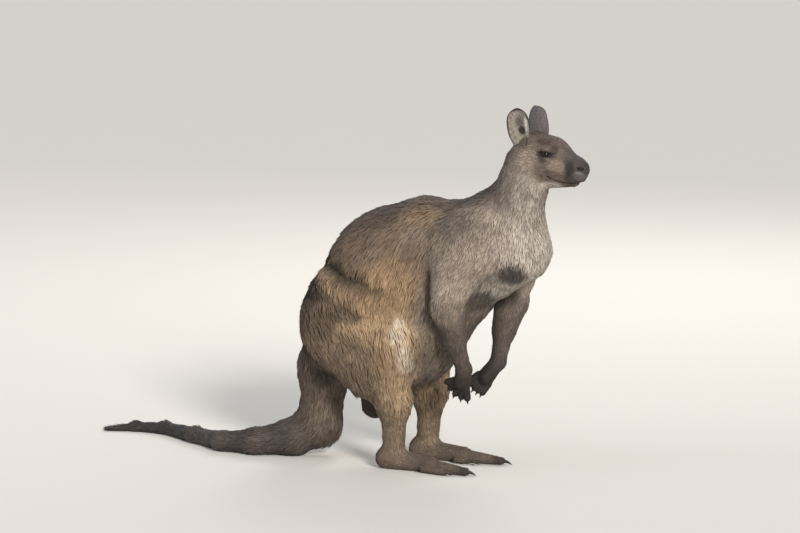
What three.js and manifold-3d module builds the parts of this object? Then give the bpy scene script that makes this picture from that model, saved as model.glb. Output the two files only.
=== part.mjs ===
// A life-size grey kangaroo standing on its hind feet and tail, as a still museum model.
// Each part of the body is its own solid, in millimetres: x runs towards the nose,
// y to the animal's left and z up. The solids reach out to the tips of the coat.
//
// Flesh is described by rounded cones that melt into each other. A part's surface is found by
// looking outwards from its axis for the place where its flesh ends, ring after ring.
import * as THREE from 'three';
import { mergeVertices } from 'three/addons/utils/BufferGeometryUtils.js';
import Module from 'manifold-3d';

const wasm = await Module();
wasm.setup();

const at = (x, y, z) => new THREE.Vector3(x, y, z);

// ---- Driving dimensions ----------------------------------------------------------------
const GAP = 0.4;                     // clear space between two parts that touch
const JOIN_MELT = 60;                // how far the neck and the tail blend into the torso
const TORSO = {
  chest: at(255, 0, 645),
  saddle: at(80, 0, 598),
  crest: at(18, 0, 637),
  crestEnd: at(-62, 0, 606),
  loin: at(-80, 0, 520),
  rump: at(-172, 0, 395),
  ribs: at(135, 0, 512),
  belly: at(-10, 0, 375),
  groin: at(-100, 0, 330),
  withers: at(165, 0, 690),
  withersTop: at(240, 0, 720),
  breast: at(312, 0, 630),
};
const NECK = { root: at(288, 0, 690), nape: at(341, 0, 802), top: at(343, 0, 866) };
const TAIL = {
  root: at(-200, 0, 420),
  back: at(-290, 0, 260),
  bend: at(-312, 0, 90),
  turn: at(-370, -40, 54),
  swing: at(-470, -85, 37),
  middle: at(-580, -80, 27),
  cross: at(-720, -5, 22),
  sweep: at(-880, 82, 17),
  thin: at(-980, 82, 13),
  tip: at(-1056, 44, 8),
};
const SAC = { top: at(-158, 4, 236), end: at(-136, 8, 156) };
// The leg is given for the left side and mirrored. The arms hang differently.
const LEG = {
  hip: at(-175, 88, 430),
  knee: at(4, 134, 365),
  ham: at(-205, 90, 360),
  hamEnd: at(-95, 108, 268),
  calf: at(-62, 108, 290),
  shin: at(-8, 102, 200),
  heel: at(-14, 95, 45),
};
const FOOT = { heel: at(-40, 93, 27), ball: at(102, 96, 21), toe: at(218, 102, 12) };
const ARM = {
  left: { shoulder: at(245, 105, 660), elbow: at(232, 132, 478), wrist: at(232, 60, 300) },
  right: { shoulder: at(232, -105, 655), elbow: at(165, -135, 470), wrist: at(197, -72, 292) },
};
const HAND = {
  left: {
    palm: at(212, 22, 258),
    reach: at(-0.53, -0.51, -0.68),
    across: at(0.55, 0.3, -0.7),
    fan: 6,
  },
  right: {
    palm: at(186, -62, 254),
    reach: at(-0.57, 0.05, -0.82),
    across: at(0.82, 0.05, -0.57),
    fan: 20,
  },
};
const FINGERS = 5;
const FINGER = { length: 34, shorter: 3, root: 11.5, end: 10.5, apart: 9, start: 6 };
const PALM = { wristRadius: 21, radius: 25, melt: 12, end: 4 };
const HAND_CLAW = { length: 11, radius: 4.2, sunk: 5 };
const HEAD = { middle: at(412, 0, 885), nodDegrees: 8, turnDegrees: -4 };
const EYE = { centre: at(21, 35, 17), radius: 13 };
const EAR = {
  root: at(-58, 40, 30),
  tips: { left: at(-85, 58, 124), right: at(-76, -61, 127) },
  halfWidth: 31,
  thick: 5,
  sunk: 8,
  widest: 0.56,                      // where it is widest, as a share of its height
  rootWidth: 0.58,                   // its width at the root, as a share of the widest
  roundness: 2.6,                    // 2 is an ellipse; more makes the top broader
  wrapDegrees: [118, 62],            // how far it curls to each side, at the root and higher up
  facing: { left: at(0.02, 1, 0.1), right: at(0.42, -0.9, 0.1) },
};
const TRUNK_TURN = [at(0.45, 0, 0.89), at(1, 0, 0)];
const THIGH_TILT = at(0.35, 0, -0.94);
const THIGH_INNER = 40;              // a thigh keeps this far from the middle of the body
const THIGH_END = 215;               // height where the thigh ends and the shank begins
const TAIL_START = { point: at(-278, 0, 290), along: at(-0.5, 0, -0.87) };
const TAIL_TURN = at(-0.92, -0.38, -0.1);
const TAIL_FRONT = -190;             // the tail's root stays behind this
const NECK_START = { point: at(316, 0, 748), along: at(0.45, 0, 0.89) };
// The outer toe, the two slender inner toes and the great toe between them.
const TOES = [
  { name: 'great', from: at(102, 96, 19), to: at(218, 102, 12), root: 20, end: 12, claw: 34, fat: 6.5 },
  { name: 'outer', from: at(94, 116, 14), to: at(168, 130, 9), root: 14, end: 8.5, claw: 24, fat: 4.6 },
  { name: 'inner_a', from: at(94, 74, 12), to: at(166, 72, 7.5), root: 10, end: 6.5, claw: 15, fat: 2.6 },
  { name: 'inner_b', from: at(94, 64, 12), to: at(158, 58, 7.5), root: 10, end: 6.5, claw: 15, fat: 2.6 },
];

const TOE_CLAW = { outwards: 0.4, rise: 0.12 };   // its root, in toe radii past the toe, and its slope
const FOREARM_START = 0.12;          // share of the way from the elbow to the wrist

// ---- Colours ---------------------------------------------------------------------------
const fur = (colour) => new THREE.MeshStandardMaterial({ color: colour, roughness: 0.92, metalness: 0 });
const gloss = (colour, rough) => (
  new THREE.MeshStandardMaterial({ color: colour, roughness: rough, metalness: 0 }));
const BODY_FUR = fur(0x6f6252);
const CHEST_FUR = fur(0x7d746c);
const FACE_FUR = fur(0x74675c);
const LIMB_FUR = fur(0x857058);
const HAND_SKIN = fur(0x2c2626);
const TAIL_END_FUR = fur(0x38322e);
const EAR_FUR = fur(0x8d8880);
const EYE_GLOSS = gloss(0x1c120e, 0.12);
const CLAW_HORN = gloss(0x1d1a19, 0.4);

// ---- Flesh: rounded cones and how they melt together ---------------------------------------
// `wide` squeezes or spreads a cone across the body and `melt` is how far it blends.
const flesh = (from, to, startRadius, endRadius, wide = 1, melt = 40) => (
  { from, along: to.clone().sub(from), startRadius, endRadius, wide, melt });

const offset = new THREE.Vector3();
function coneDistance(point, cone) {
  offset.copy(point).sub(cone.from);
  const share = THREE.MathUtils.clamp(offset.dot(cone.along) / cone.along.lengthSq(), 0, 1);
  offset.addScaledVector(cone.along, -share);
  offset.y /= cone.wide;
  const radius = cone.startRadius + (cone.endRadius - cone.startRadius) * share;
  return (offset.length() - radius) * Math.min(1, cone.wide);
}

function melted(a, b, reach) {
  const near = Math.max(reach - Math.abs(a - b), 0) / reach;
  return Math.min(a, b) - near * near * reach / 4;
}

const body = (cones) => (point) => (
  cones.reduce((sum, cone) => melted(sum, coneDistance(point, cone), cone.melt), 1e4));
const joined = (a, b, reach) => (point) => melted(a(point), b(point), reach);
const within = (field, limit) => (point) => Math.max(field(point), limit(point));
const beyond = (plane) => (point) => offset.copy(point).sub(plane.point).dot(plane.along);
const aboveFloor = (point) => -point.z;
const mirrored = (p, side) => at(p.x, p.y * side, p.z);
const between = (a, b, share) => a.clone().lerp(b, share);

const torso = body([
  flesh(TORSO.chest, TORSO.saddle, 106, 131, 0.95, 60),
  flesh(TORSO.saddle, TORSO.loin, 132, 164, 0.95, 80),
  flesh(TORSO.crest, TORSO.crestEnd, 106, 108, 0.95, 60),
  flesh(TORSO.loin, TORSO.rump, 164, 158, 0.95, 80),
  flesh(TORSO.ribs, TORSO.belly, 114, 130, 1, 80),
  flesh(TORSO.belly, TORSO.groin, 130, 120, 1, 80),
  flesh(TORSO.withers, TORSO.withersTop, 54, 62, 1.1, 50),
  flesh(TORSO.breast.clone().add(at(0, 0, 60)), TORSO.breast, 70, 97, 0.95, 50),
  flesh(TORSO.breast, TORSO.breast.clone().add(at(-56, 0, -70)), 95, 68, 1, 50),
]);
const neck = body([
  flesh(NECK.root, NECK.nape, 88, 65, 0.9, 50),
  flesh(NECK.nape, NECK.top, 63, 52, 0.9, 40),
]);
const tail = body([
  flesh(TAIL.root, TAIL.back, 108, 76, 0.9, 60),
  flesh(TAIL.back, TAIL.bend, 70, 62, 0.95, 40),
  flesh(TAIL.bend, TAIL.turn, 60, 54, 1, 30),
  flesh(TAIL.turn, TAIL.swing, 52, 38, 1, 20),
  flesh(TAIL.swing, TAIL.middle, 38, 29, 1, 20),
  flesh(TAIL.middle, TAIL.cross, 29, 24, 1, 20),
  flesh(TAIL.cross, TAIL.sweep, 24, 19, 1, 20),
  flesh(TAIL.sweep, TAIL.thin, 19, 15, 1, 20),
  flesh(TAIL.thin, TAIL.tip, 15, 9, 1, 20),
]);
const spine = joined(joined(torso, neck, JOIN_MELT), tail, JOIN_MELT);
const scrotum = body([flesh(SAC.top, SAC.end, 26, 38, 0.9)]);

function legFlesh(side) {
  const [hip, knee, ham, hamEnd, calf, shin, heel] = (
    [LEG.hip, LEG.knee, LEG.ham, LEG.hamEnd, LEG.calf, LEG.shin, LEG.heel].map((p) => mirrored(p, side)));
  const cones = body([
    flesh(hip, knee, 128, 64, 0.75, 60),
    flesh(ham, hamEnd, 92, 76, 0.75, 50),
    flesh(knee, shin, 62, 44, 0.9, 40),
    flesh(calf, shin.clone().add(at(-8, 0, -10)), 66, 42, 0.8, 40),
    flesh(shin, heel, 42, 32, 0.82, 30),
  ]);
  return within(cones, (p) => THIGH_INNER - p.y * side);
}

function footFlesh(side) {
  const [heel, ball, toe] = [FOOT.heel, FOOT.ball, FOOT.toe].map((p) => mirrored(p, side));
  return within(body([flesh(heel, ball, 30, 23, 1, 25), flesh(ball, toe, 24, 14, 1.1, 15)]), aboveFloor);
}

function armFlesh({ shoulder, elbow, wrist }, side) {
  const upper = shoulder.clone().add(at(10, 0, -40));
  const biceps = elbow.clone().add(at(20, 0, 60));
  const belly = elbow.clone().add(at(12, -12 * side, -25));
  return body([
    flesh(shoulder, elbow, 82, 47, 0.8, 50),
    flesh(upper, biceps, 66, 48, 0.8, 40),
    flesh(elbow, wrist, 42, 22, 0.85, 20),
    flesh(belly, between(elbow, wrist, 0.5), 42, 29, 0.9, 25),
  ]);
}

// The head in its own frame: x to the nose, z up, the origin in its middle.
const skull = body([
  flesh(at(-40, 0, 15), at(22, 0, 14), 54, 47, 0.9, 20),
  flesh(at(-36, 0, -24), at(34, 0, -24), 56, 46, 0.85, 25),
  flesh(at(22, 0, 8), at(104, 0, -10), 43, 32, 0.82, 25),
  flesh(at(104, 0, -6), at(118, 0, -9), 27, 22, 0.95, 10),
  flesh(at(100, 0, -26), at(114, 0, -30), 24, 19, 0.95, 10),
  flesh(at(-15, 0, -60), at(98, 0, -46), 28, 16, 0.95, 14),
]);

// ---- From flesh to solids -----------------------------------------------------------------
const STEP = 5;                      // first search step from an axis outwards
const HALVINGS = 14;
const TINY = 0.02;

// How far the flesh reaches from `centre` in `direction`.
function reachOf(field, centre, direction, grow) {
  const probe = new THREE.Vector3();
  const outside = (r) => field(probe.copy(centre).addScaledVector(direction, r)) > grow;
  let far = STEP;
  while (!outside(far)) far += STEP;
  let near = far - STEP;
  for (let i = 0; i < HALVINGS; i += 1) {
    const middle = (near + far) / 2;
    if (outside(middle)) far = middle;
    else near = middle;
  }
  return Math.max((near + far) / 2, TINY);
}

// Rings across a curve. They stand square to it, or turn evenly between two directions, so that
// they don't cross inside a thick bend.
const DOWN = at(0, 0, -1);
function stations(curve, count, turn) {
  return Array.from({ length: count }, (_, i) => {
    const share = i / (count - 1);
    const along = turn ? between(turn[0], turn[1], share).normalize() : curve.getTangentAt(share);
    return { centre: curve.getPointAt(share), along };
  });
}

const ROUND_END = [0.55, 0.87];   // rings of a rounded end, as shares of the way to its pole

function roundedEnd(field, station, sign, grow, shares) {
  const way = station.along.clone().multiplyScalar(sign);
  const length = reachOf(field, station.centre, way, grow);
  const moved = (share) => station.centre.clone().addScaledVector(way, length * share);
  const rings = shares.map((share) => ({ centre: moved(share), along: station.along }));
  return { rings, pole: moved(1) };
}

// The closed skin of `field` around the curve: rings of points, and a cap at each end.
function skinAlong(
  field, points, { rings, sides, turn, round = [false, false], ends = ROUND_END, grow = 0 }) {
  const curve = new THREE.CatmullRomCurve3(points, false, 'centripetal');
  let row = stations(curve, rings, turn);
  const head = row[0];
  const last = row[row.length - 1];
  let startPole = head.centre;
  let endPole = last.centre;
  if (round[0]) {
    const end = roundedEnd(field, head, -1, grow, ends);
    row = [...end.rings.reverse(), ...row];
    startPole = end.pole;
  }
  if (round[1]) {
    const end = roundedEnd(field, last, 1, grow, ends);
    row = [...row, ...end.rings];
    endPole = end.pole;
  }
  // A flat end of a fatter copy stands out by as much as its sides do.
  if (!round[0]) head.centre.addScaledVector(head.along, -grow);
  if (!round[1]) last.centre.addScaledVector(last.along, grow);
  const loops = row.map(({ centre, along }) => ringOf(field, centre, along, sides, grow));
  return closedTube(loops, startPole, endPole);
}

function ringOf(field, centre, along, sides, grow) {
  const side = at(0, 1, 0).projectOnPlane(along).normalize();
  const up = along.clone().cross(side).normalize();
  return Array.from({ length: sides }, (_, j) => {
    const angle = (j + 0.5) / sides * Math.PI * 2;
    const direction = side.clone().multiplyScalar(Math.cos(angle)).addScaledVector(up, Math.sin(angle));
    const point = centre.clone().addScaledVector(direction, reachOf(field, centre, direction, grow));
    if (Math.abs(point.z) < TINY) point.z = 0;
    return point;
  });
}

function closedTube(loops, startPole, endPole) {
  const sides = loops[0].length;
  const points = [...loops.flat(), startPole, endPole];
  const start = points.length - 2;
  const end = points.length - 1;
  const faces = [];
  for (let j = 0; j < sides; j += 1) {
    const next = (j + 1) % sides;
    const tail0 = (loops.length - 1) * sides;
    faces.push(start, next, j, end, tail0 + j, tail0 + next);
    for (let i = 0; i + 1 < loops.length; i += 1) {
      const here = i * sides;
      const ahead = here + sides;
      faces.push(here + j, here + next, ahead + next, here + j, ahead + next, ahead + j);
    }
  }
  return shape(points, faces);
}

function shape(points, faces) {
  const geometry = new THREE.BufferGeometry().setFromPoints(points);
  geometry.setIndex(faces);
  return geometry;
}

// A solid for cutting and joining, and the way back to a geometry.
function solidOf(geometry, place) {
  const plain = geometry.clone();
  plain.deleteAttribute('normal');
  plain.deleteAttribute('uv');
  if (place) plain.applyMatrix4(place);
  const merged = mergeVertices(plain, 1e-4);
  return new wasm.Manifold(new wasm.Mesh({
    numProp: 3,
    vertProperties: merged.attributes.position.array,
    triVerts: new Uint32Array(merged.index.array),
  }));
}

function geometryOf(solid) {
  const mesh = solid.getMesh();
  const geometry = new THREE.BufferGeometry();
  geometry.setAttribute('position', new THREE.BufferAttribute(mesh.vertProperties, 3));
  geometry.setIndex(new THREE.BufferAttribute(mesh.triVerts, 1));
  return geometry;
}

const cut = (solid, ...tools) => tools.reduce((rest, tool) => rest.subtract(tool), solid);
const join = (first, ...others) => others.reduce((sum, other) => sum.add(other), first);
// The main body of a cut solid, without slivers that a cut left loose.
const mainBody = (solid) => solid.decompose().sort((a, b) => b.volume() - a.volume())[0];

const kangaroo = new THREE.Group();
kangaroo.name = 'grey_kangaroo';

function add(name, solid, material, parent = kangaroo) {
  const mesh = new THREE.Mesh(geometryOf(mainBody(solid)), material);
  mesh.geometry.computeVertexNormals();
  mesh.name = name;
  parent.add(mesh);
}

// `make(grow)` gives a part's solid: as it is, and a little fatter to cut its neighbours with.
const withTool = (make) => ({ solid: make(0), tool: make(GAP) });
const sideName = (side) => (side > 0 ? 'left' : 'right');

// ---- Limbs -----------------------------------------------------------------------------
function thigh(side) {
  const field = legFlesh(side);
  const axis = [at(-150, 92, 500), at(-140, 96, 420), at(-104, 102, 320), at(-34, 103, THIGH_END)];
  return withTool((grow) => solidOf(skinAlong(field, axis.map((p) => mirrored(p, side)), {
    rings: 11, sides: 14, turn: [THIGH_TILT, DOWN], round: [true, false], grow,
  })));
}

function shank(side) {
  const field = legFlesh(side);
  const axis = [at(-22, 103, THIGH_END - GAP), at(-12, 101, 150), at(-12, 97, 80), at(-14, 95, 50)];
  return solidOf(skinAlong(field, axis.map((p) => mirrored(p, side)), {
    rings: 6, sides: 10, turn: [DOWN, DOWN],
  }));
}

// A short tapered digit from one point to another.
function digit(from, to, root, end, grow, sides = 6) {
  const field = within(body([flesh(from, to, root, end)]), aboveFloor);
  return solidOf(skinAlong(field, [from, to], {
    rings: 2, sides, round: [false, true], ends: [0.65], grow,
  }));
}

// A curved claw: it leaves along `way` and bends towards `droop`.
const CLAW = { bend: 0.5, reach: 0.9, drop: 0.32, narrowing: 0.28, sides: 6 };
function claw(root, way, droop, length, radius, grow) {
  const start = root.clone().addScaledVector(way, -grow);
  const bend = root.clone().addScaledVector(way, length * CLAW.bend);
  const tip = root.clone().addScaledVector(way, length * CLAW.reach)
    .addScaledVector(droop, length * CLAW.drop);
  const curve = new THREE.QuadraticBezierCurve3(start, bend, tip);
  const loops = stations(curve, 4).slice(0, 3).map(({ centre, along }, i) => {
    const field = (p) => p.distanceTo(centre) - radius * (1 - i * CLAW.narrowing) - grow;
    return ringOf(field, centre, along, CLAW.sides, 0);
  });
  return solidOf(closedTube(loops, start, tip));
}

function hand(side) {
  const { palm, reach, across, fan } = HAND[sideName(side)];
  const wrist = ARM[sideName(side)].wrist;
  const way = reach.clone().normalize();
  const spread = across.clone().projectOnPlane(way).normalize();
  const back = way.clone().cross(spread);
  const digits = Array.from({ length: FINGERS }, (_, i) => {
    const order = i - (FINGERS - 1) / 2;
    const along = way.clone().applyAxisAngle(back, THREE.MathUtils.degToRad(fan * order));
    const from = palm.clone().addScaledVector(spread, order * FINGER.apart)
      .addScaledVector(way, FINGER.start);
    const to = from.clone().addScaledVector(along, FINGER.length - Math.abs(order) * FINGER.shorter);
    const clawRoot = to.clone().addScaledVector(along, FINGER.end - HAND_CLAW.sunk);
    const makeClaw = (grow) => (
      claw(clawRoot, along, at(0, 0, -1), HAND_CLAW.length, HAND_CLAW.radius, grow));
    return { from, to, ...withTool(makeClaw) };
  });
  const palmEnd = palm.clone().addScaledVector(way, PALM.end);
  const palmField = body([flesh(wrist, palm, PALM.wristRadius, PALM.radius, 1, PALM.melt)]);
  const palmSolid = solidOf(skinAlong(palmField, [wrist, palm, palmEnd], {
    rings: 3, sides: 10, round: [false, true],
  }));
  const fingerSolids = digits.map(({ from, to }) => digit(from, to, FINGER.root, FINGER.end, 0));
  const solid = cut(join(palmSolid, ...fingerSolids), ...digits.map((d) => d.tool));
  return { solid, claws: digits.map((d) => d.solid) };
}

function arm(side) {
  const joints = ARM[sideName(side)];
  const field = armFlesh(joints, side);
  const { shoulder, elbow, wrist } = joints;
  const upperEnd = between(elbow, wrist, FOREARM_START);
  const upperAxis = [shoulder, between(shoulder, elbow, 0.5), upperEnd];
  const lowerAxis = [upperEnd, between(upperEnd, wrist, 0.5), wrist];
  const upper = withTool((grow) => solidOf(skinAlong(field, upperAxis, {
    rings: 7, sides: 12, round: [true, false], grow,
  })));
  const lower = withTool((grow) => solidOf(skinAlong(field, lowerAxis, { rings: 6, sides: 10, grow })));
  return { upper, lower };
}

function foot(side) {
  const field = footFlesh(side);
  const axis = [at(-32, 93, 26), at(32, 94, 24), at(110, 97, 19), at(152, 99, 16)];
  const make = (grow) => {
    const sole = solidOf(skinAlong(field, axis.map((p) => mirrored(p, side)), {
      rings: 5, sides: 12, round: [true, true], grow,
    }));
    const toes = TOES.map(({ from, to, root, end }) => (
      digit(mirrored(from, side), mirrored(to, side), root, end, grow)));
    return join(sole, ...toes);
  };
  const claws = TOES.map(({ name, from, to, end, claw: length, fat }) => {
    const tip = mirrored(to, side);
    const way = tip.clone().sub(mirrored(from, side)).setZ(0).normalize();
    const root = tip.clone().addScaledVector(way, end * TOE_CLAW.outwards);
    const raised = way.clone().add(at(0, 0, TOE_CLAW.rise)).normalize();
    return { name, ...withTool((grow) => claw(root, raised, at(0, 0, -1), length, fat, grow)) };
  });
  return { solid: cut(make(0), ...claws.map((c) => c.tool)), tool: make(GAP), claws };
}

// ---- Head ------------------------------------------------------------------------------
const headGroup = new THREE.Group();
headGroup.position.copy(HEAD.middle);
headGroup.rotation.set(
  0, THREE.MathUtils.degToRad(HEAD.nodDegrees), THREE.MathUtils.degToRad(HEAD.turnDegrees), 'ZYX');
headGroup.updateMatrix();
kangaroo.add(headGroup);

const headSkin = (grow) => skinAlong(
  skull, [at(-45, 0, 0), at(0, 0, 0), at(60, 0, -10), at(112, 0, -16)],
  { rings: 10, sides: 16, round: [true, true], grow });

const TIP_SHARE = 1.04;              // an ear's outline would close a little above its last row

// The ear is a leaf curled round its long axis, open to the outside and a little forwards.
function ear(side) {
  const rows = 6;
  const columns = 6;
  const root = mirrored(EAR.root, side);
  const tip = EAR.tips[sideName(side)];
  const up = tip.clone().sub(root).normalize();
  const face = EAR.facing[sideName(side)].clone().projectOnPlane(up).normalize();
  const across = up.clone().cross(face).multiplyScalar(side);
  const [rootWrap, topWrap] = EAR.wrapDegrees;
  const widthAt = (share) => (share < EAR.widest
    ? EAR.rootWidth + (1 - EAR.rootWidth) * Math.sin(share / EAR.widest * Math.PI / 2)
    : Math.sqrt(1 - ((share - EAR.widest) / (TIP_SHARE - EAR.widest)) ** EAR.roundness));
  const point = (i, j, skin) => {
    const share = i / rows;
    const wrap = THREE.MathUtils.degToRad(
      THREE.MathUtils.lerp(rootWrap, topWrap, Math.min(share * 1.5, 1)));
    const curl = EAR.halfWidth * widthAt(share) / Math.sin(Math.min(wrap, Math.PI / 2));
    const angle = wrap * (2 * j / columns - 1);
    const radius = curl + skin * EAR.thick / 2;
    return between(root, tip, share)
      .addScaledVector(across, radius * Math.sin(angle))
      .addScaledVector(face, curl - radius * Math.cos(angle) - EAR.sunk);
  };
  return leafOf(point, rows, columns, side);
}

// A closed sheet from two grids of points, one each side of it.
function leafOf(point, rows, columns, side) {
  const points = [];
  const index = (i, j, layer) => (layer * (rows + 1) + i) * (columns + 1) + j;
  for (const skin of [1, -1]) {
    for (let i = 0; i <= rows; i += 1) {
      for (let j = 0; j <= columns; j += 1) points.push(point(i, j, skin));
    }
  }
  const faces = [];
  const quad = (a, b, c, d) => (side > 0 ? faces.push(a, b, c, a, c, d) : faces.push(a, c, b, a, d, c));
  for (let i = 0; i < rows; i += 1) {
    for (let j = 0; j < columns; j += 1) {
      quad(index(i, j, 0), index(i + 1, j, 0), index(i + 1, j + 1, 0), index(i, j + 1, 0));
      quad(index(i, j, 1), index(i, j + 1, 1), index(i + 1, j + 1, 1), index(i + 1, j, 1));
    }
    quad(index(i, 0, 0), index(i, 0, 1), index(i + 1, 0, 1), index(i + 1, 0, 0));
    quad(index(i, columns, 0), index(i + 1, columns, 0), index(i + 1, columns, 1), index(i, columns, 1));
  }
  for (let j = 0; j < columns; j += 1) {
    quad(index(0, j, 0), index(0, j + 1, 0), index(0, j + 1, 1), index(0, j, 1));
    quad(index(rows, j, 0), index(rows, j, 1), index(rows, j + 1, 1), index(rows, j + 1, 0));
  }
  return shape(points, faces);
}

// ---- The whole animal ----------------------------------------------------------------------
const eyeball = (side, grow) => {
  const centre = mirrored(EYE.centre, side);
  return new THREE.SphereGeometry(EYE.radius + grow, 11, 7).translate(centre.x, centre.y, centre.z);
};

const headTool = solidOf(headSkin(GAP), headGroup.matrix);
const sockets = [1, -1].map((side) => solidOf(eyeball(side, GAP)));
add('head', cut(solidOf(headSkin(0)), ...sockets), FACE_FUR, headGroup);
for (const side of [1, -1]) {
  const name = sideName(side);
  add(`eye_${name}`, solidOf(eyeball(side, 0)), EYE_GLOSS, headGroup);
  add(`ear_${name}`, cut(solidOf(ear(side)), solidOf(headSkin(GAP))), EAR_FUR, headGroup);
}

const neckPart = withTool((grow) => solidOf(skinAlong(
  joined(torso, neck, JOIN_MELT), [NECK_START.point, NECK.nape, NECK.top],
  { rings: 6, sides: 16, grow })));
add('neck', cut(neckPart.solid, headTool), CHEST_FUR);

const trunkTools = [neckPart.tool];
const thighTools = [];
for (const side of [1, -1]) {
  const name = sideName(side);
  const upperLeg = thigh(side);
  const wholeFoot = foot(side);
  const wholeArm = arm(side);
  const wholeHand = hand(side);
  trunkTools.push(upperLeg.tool, wholeArm.upper.tool, wholeArm.lower.tool);
  thighTools.push(upperLeg.tool);
  add(`thigh_${name}`, upperLeg.solid, BODY_FUR);
  add(`shank_${name}`, cut(shank(side), wholeFoot.tool), LIMB_FUR);
  add(`foot_${name}`, wholeFoot.solid, HAND_SKIN);
  wholeFoot.claws.forEach((c) => add(`toe_claw_${c.name}_${name}`, c.solid, CLAW_HORN));
  add(`upper_arm_${name}`, wholeArm.upper.solid, CHEST_FUR);
  add(`forearm_${name}`, cut(wholeArm.lower.solid, wholeArm.upper.tool), LIMB_FUR);
  add(`hand_${name}`, cut(wholeHand.solid, wholeArm.lower.tool), HAND_SKIN);
  wholeHand.claws.forEach((c, i) => add(`finger_claw_${i + 1}_${name}`, c, CLAW_HORN));
}

const tailRoot = within(torso, (p) => p.x - TAIL_FRONT);
const tailField = within(joined(tailRoot, tail, JOIN_MELT), aboveFloor);
const TAIL_PARTS = [
  { name: 'base', axis: [at(-296, 0, 180), TAIL.bend, TAIL.turn], rings: 8, sides: 13 },
  { name: 'middle', axis: [TAIL.turn, TAIL.swing, TAIL.middle], rings: 6, sides: 12 },
  { name: 'end', axis: [TAIL.middle, TAIL.cross, TAIL.sweep], rings: 7, sides: 10 },
  { name: 'tip', axis: [TAIL.sweep, TAIL.thin, TAIL.tip], rings: 4, sides: 8 },
];
let ahead = thighTools;
for (const { name, axis, rings, sides } of TAIL_PARTS) {
  const isBase = name === 'base';
  const points = isBase ? [TAIL_START.point, ...axis] : axis;
  const turn = isBase ? [TAIL_START.along, TAIL_TURN] : null;
  const round = [false, name === 'tip'];
  const { solid, tool } = withTool((grow) => (
    solidOf(skinAlong(tailField, points, { rings, sides, turn, round, grow }))));
  if (isBase) trunkTools.push(tool);
  add(`tail_${name}`, cut(solid, ...ahead), isBase ? LIMB_FUR : TAIL_END_FUR);
  ahead = [tool];
}

const trunkField = within(within(spine, beyond(NECK_START)), beyond(TAIL_START));
const trunkAxis = [
  at(-165, 0, 330), TORSO.rump.clone().add(at(12, 0, 20)), TORSO.loin, TORSO.saddle,
  TORSO.chest, at(330, 0, 640),
];
const trunkPart = withTool((grow) => solidOf(skinAlong(trunkField, trunkAxis, {
  rings: 11, sides: 18, turn: TRUNK_TURN, round: [true, true], grow,
})));
add('trunk', cut(trunkPart.solid, ...trunkTools), BODY_FUR);

const scrotumPart = solidOf(skinAlong(scrotum, [SAC.top, SAC.end], {
  rings: 4, sides: 10, round: [true, true],
}));
add('scrotum', cut(scrotumPart, trunkPart.tool, ...trunkTools), HAND_SKIN);

// The frame: the origin lies on the floor, in the middle of the box round the animal.
kangaroo.updateMatrixWorld(true);
const box = new THREE.Box3().setFromObject(kangaroo, true);
const middle = box.getCenter(new THREE.Vector3());
kangaroo.position.set(-middle.x, -middle.y, -box.min.z);

export default kangaroo;
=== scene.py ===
"""The looks of a life-size grey kangaroo: skin, coat, ears, eyes, claws, floor, light and camera.

The animal's flesh is the same set of rounded cones as in the CAD model. They are given in
millimetres in the pose frame (x to the nose, y to the left, z up, origin on the floor between the
ankles) and kept in metres. One skin lies inside the CAD solids by the depth of the coat. Tufts of
hair cover it and reach out to about the surface of the solids.
"""
import math

import bmesh
import bpy
import numpy as np
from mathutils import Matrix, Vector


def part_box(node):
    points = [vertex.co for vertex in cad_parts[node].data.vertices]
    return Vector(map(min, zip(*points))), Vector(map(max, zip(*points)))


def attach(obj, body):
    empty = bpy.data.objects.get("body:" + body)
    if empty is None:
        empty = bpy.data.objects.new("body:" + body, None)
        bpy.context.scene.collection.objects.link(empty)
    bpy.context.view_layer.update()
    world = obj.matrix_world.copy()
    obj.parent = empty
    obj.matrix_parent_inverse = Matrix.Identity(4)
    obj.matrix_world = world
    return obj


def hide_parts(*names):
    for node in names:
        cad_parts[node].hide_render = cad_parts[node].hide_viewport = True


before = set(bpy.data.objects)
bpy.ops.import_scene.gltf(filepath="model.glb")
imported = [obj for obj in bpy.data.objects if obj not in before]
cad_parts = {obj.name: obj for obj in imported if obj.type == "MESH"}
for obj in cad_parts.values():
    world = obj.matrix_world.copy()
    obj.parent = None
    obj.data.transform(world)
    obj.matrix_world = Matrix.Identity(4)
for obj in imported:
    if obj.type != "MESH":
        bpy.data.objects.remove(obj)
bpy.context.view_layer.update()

import openvdb
from mathutils import Matrix, Vector
from mathutils.kdtree import KDTree

F32 = np.float32
MM = 0.001
RNG = np.random.default_rng(7)


def mm(*values):
    """A point or size given in millimetres."""
    return np.array(values, float) * MM


# ---- Anatomy ----
# Coat lengths by region, from root to tip, in millimetres.
HAIR = {
    "back": 28, "flank": 34, "rump": 34, "belly": 26, "chest": 22, "neck": 20, "head": 9,
    "muzzle": 3.5, "arm": 19, "forearm": 10, "hand": 5, "thigh": 34, "ham": 34, "shank": 14,
    "foot": 7, "tail_root": 30, "tail": 20, "tail_tip": 14, "sac": 8,
}
DEPTH_OF_LENGTH = 0.24  # how far the coat's tips stand off the skin, as a share of its length

HEAD_MIDDLE = mm(412, 0, 885)
HEAD_NOD = math.radians(8)
HEAD_TURN = math.radians(-4)
EYE_CENTRE = mm(21, 35, 17)
EYE_RADIUS = 13 * MM
LEG_INNER = 40 * MM  # how far from the middle plane the legs' flesh starts
SHOULDER_MELT = 50 * MM  # how much softer the upper arm runs into the shoulder
SHOULDER_RISE = (0.53, 0.66)  # the heights, in metres, between which it grows softer
HEAD_MELT = 22 * MM


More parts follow.
